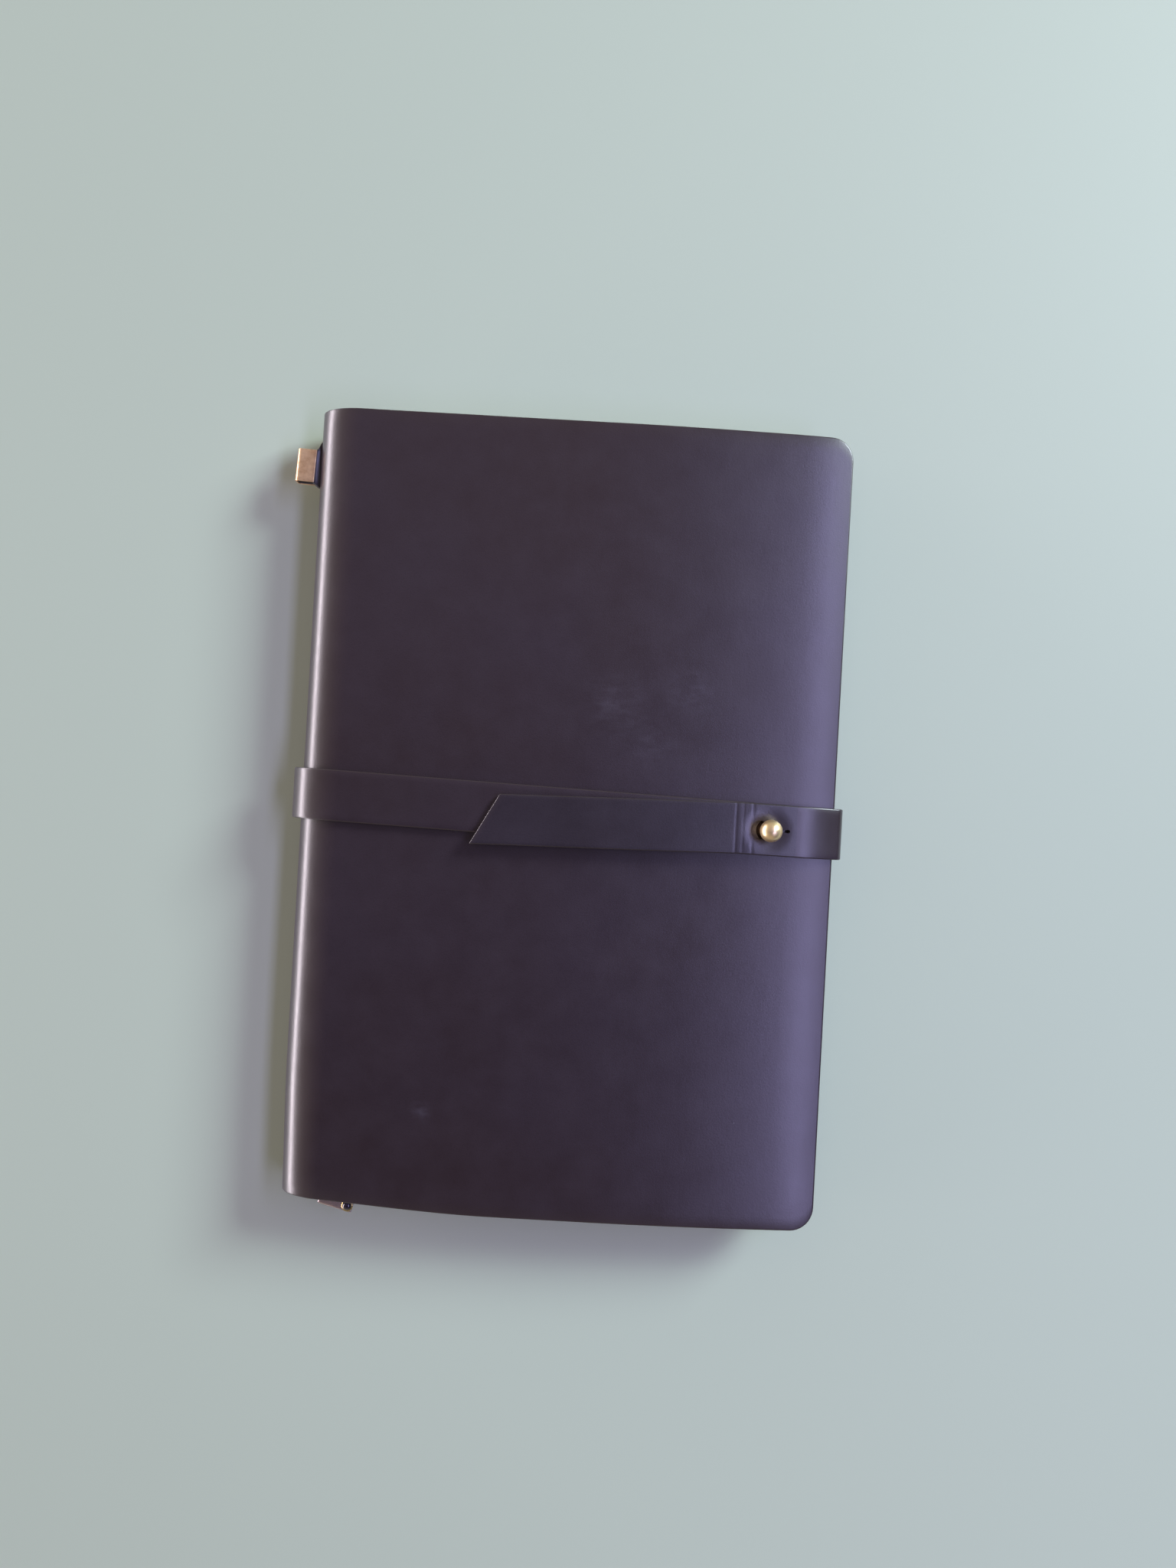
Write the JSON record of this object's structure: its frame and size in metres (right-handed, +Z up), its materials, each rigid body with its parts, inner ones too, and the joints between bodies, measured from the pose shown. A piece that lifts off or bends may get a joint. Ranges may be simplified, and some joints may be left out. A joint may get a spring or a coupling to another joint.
{
  "type": "leather notebook cover",
  "caption": "Dark leather notebook cover wrapped by a strap with a slanted tail that buttons on a brass ball stud, holding stapled paper booklets on elastic cords.",
  "frame": {"origin": "under the middle of the whole object's box, on the surface it lies on", "axes": "+X from the spine to the fore-edge, +Y to the head of the book, +Z up out of the front cover"},
  "size_m": [0.161, 0.2286, 0.028],
  "materials": {
    "cover_leather": "smooth satin, dark aubergine",
    "strap_leather": "smooth satin, dark aubergine",
    "loop_leather": "smooth, near black",
    "brass": "polished",
    "aged_brass": "aged, satin",
    "kraft": "plain kraft",
    "paper": "cream",
    "staple_steel": "bright wire",
    "elastic": "braided elastic, near black",
    "ribbon": "satin ribbon",
    "clamp_metal": "satin, pinkish grey",
    "bead": "dark, glossy"
  },
  "bodies": {
    "back": {"back_cover": "cover_leather", "strap_back_run": "strap_leather", "booklet_3_cover": "kraft", "booklet_3_pages": "paper", "booklet_3_staples": "staple_steel", "booklet_2_back_cover": "kraft", "booklet_2_back_pages": "paper", "booklet_2_staples": "staple_steel", "elastic_cord_2": "elastic", "elastic_cord_3": "elastic", "bookmark_ribbon": "ribbon", "bookmark_clamp": "clamp_metal", "bookmark_bead": "bead"},
    "spine": {"spine": "cover_leather", "strap_spine_run": "strap_leather", "pen_loop": "loop_leather", "elastic_bridge_head": "elastic", "elastic_bridge_foot": "elastic"},
    "front": {"front_cover": "cover_leather", "strap_front_run": "strap_leather", "stud_ball": "brass", "stud_screw": "brass", "booklet_1_cover": "kraft", "booklet_1_pages": "paper", "booklet_1_staples": "staple_steel", "elastic_cord_1": "elastic"},
    "leaf": {"booklet_2_front_cover": "kraft", "booklet_2_front_pages": "paper"},
    "strap_fore": {"strap_fore_run": "strap_leather"},
    "strap_tail": {"strap_tail": "strap_leather"},
    "strap_tip": {"strap_tip": "strap_leather"},
    "pen_tab": {"pen_loop_tab": "loop_leather", "pen_loop_crimp": "aged_brass"}
  },
  "joints": [
    {"name": "spine_fold", "type": "hinge", "parent": "back", "child": "spine", "pos_m": [-0.07133, 0.00204, 0.00449], "axis": [0, -1, 0], "range_deg": [0, 88], "deforming": ["strap_spine_run"]},
    {"name": "cover_fold", "type": "hinge", "parent": "spine", "child": "front", "pos_m": [-0.07133, 0.00204, 0.01651], "axis": [0, -1, 0], "range_deg": [0, 88]},
    {"name": "leaf_turn", "type": "hinge", "parent": "back", "child": "leaf", "pos_m": [-0.06482, 0.00204, 0.0116], "axis": [0, -1, 0], "range_deg": [0, 176]},
    {"name": "strap_fore_fold", "type": "hinge", "parent": "back", "child": "strap_fore", "pos_m": [0.07948, 0.00204, 0.001], "axis": [0, 1, 0], "range_deg": [0, 80], "deforming": ["strap_fore_run"]},
    {"name": "strap_tail_fold", "type": "hinge", "parent": "strap_fore", "child": "strap_tail", "pos_m": [0.07948, 0.00204, 0.0169], "axis": [0, 1, 0], "range_deg": [0, 80], "deforming": ["strap_tail"]},
    {"name": "strap_tip_lift", "type": "hinge", "parent": "strap_tail", "child": "strap_tip", "pos_m": [0.05117, 0.00204, 0.02092], "axis": [0, 1, 0], "range_deg": [0, 20], "deforming": ["strap_tip"]},
    {"name": "pen_tab_flex", "type": "hinge", "parent": "spine", "child": "pen_tab", "pos_m": [-0.07452, 0.00204, 0.0105], "axis": [0, 1, 0], "range_deg": [0, 35]}
  ],
  "couplings": [
    {"joint": "cover_fold", "follows": "spine_fold", "ratio": 1},
    {"joint": "leaf_turn", "follows": "spine_fold", "ratio": 2},
    {"joint": "strap_fore_fold", "follows": "spine_fold", "ratio": 0.9},
    {"joint": "strap_tail_fold", "follows": "spine_fold", "ratio": 0.9}
  ]
}
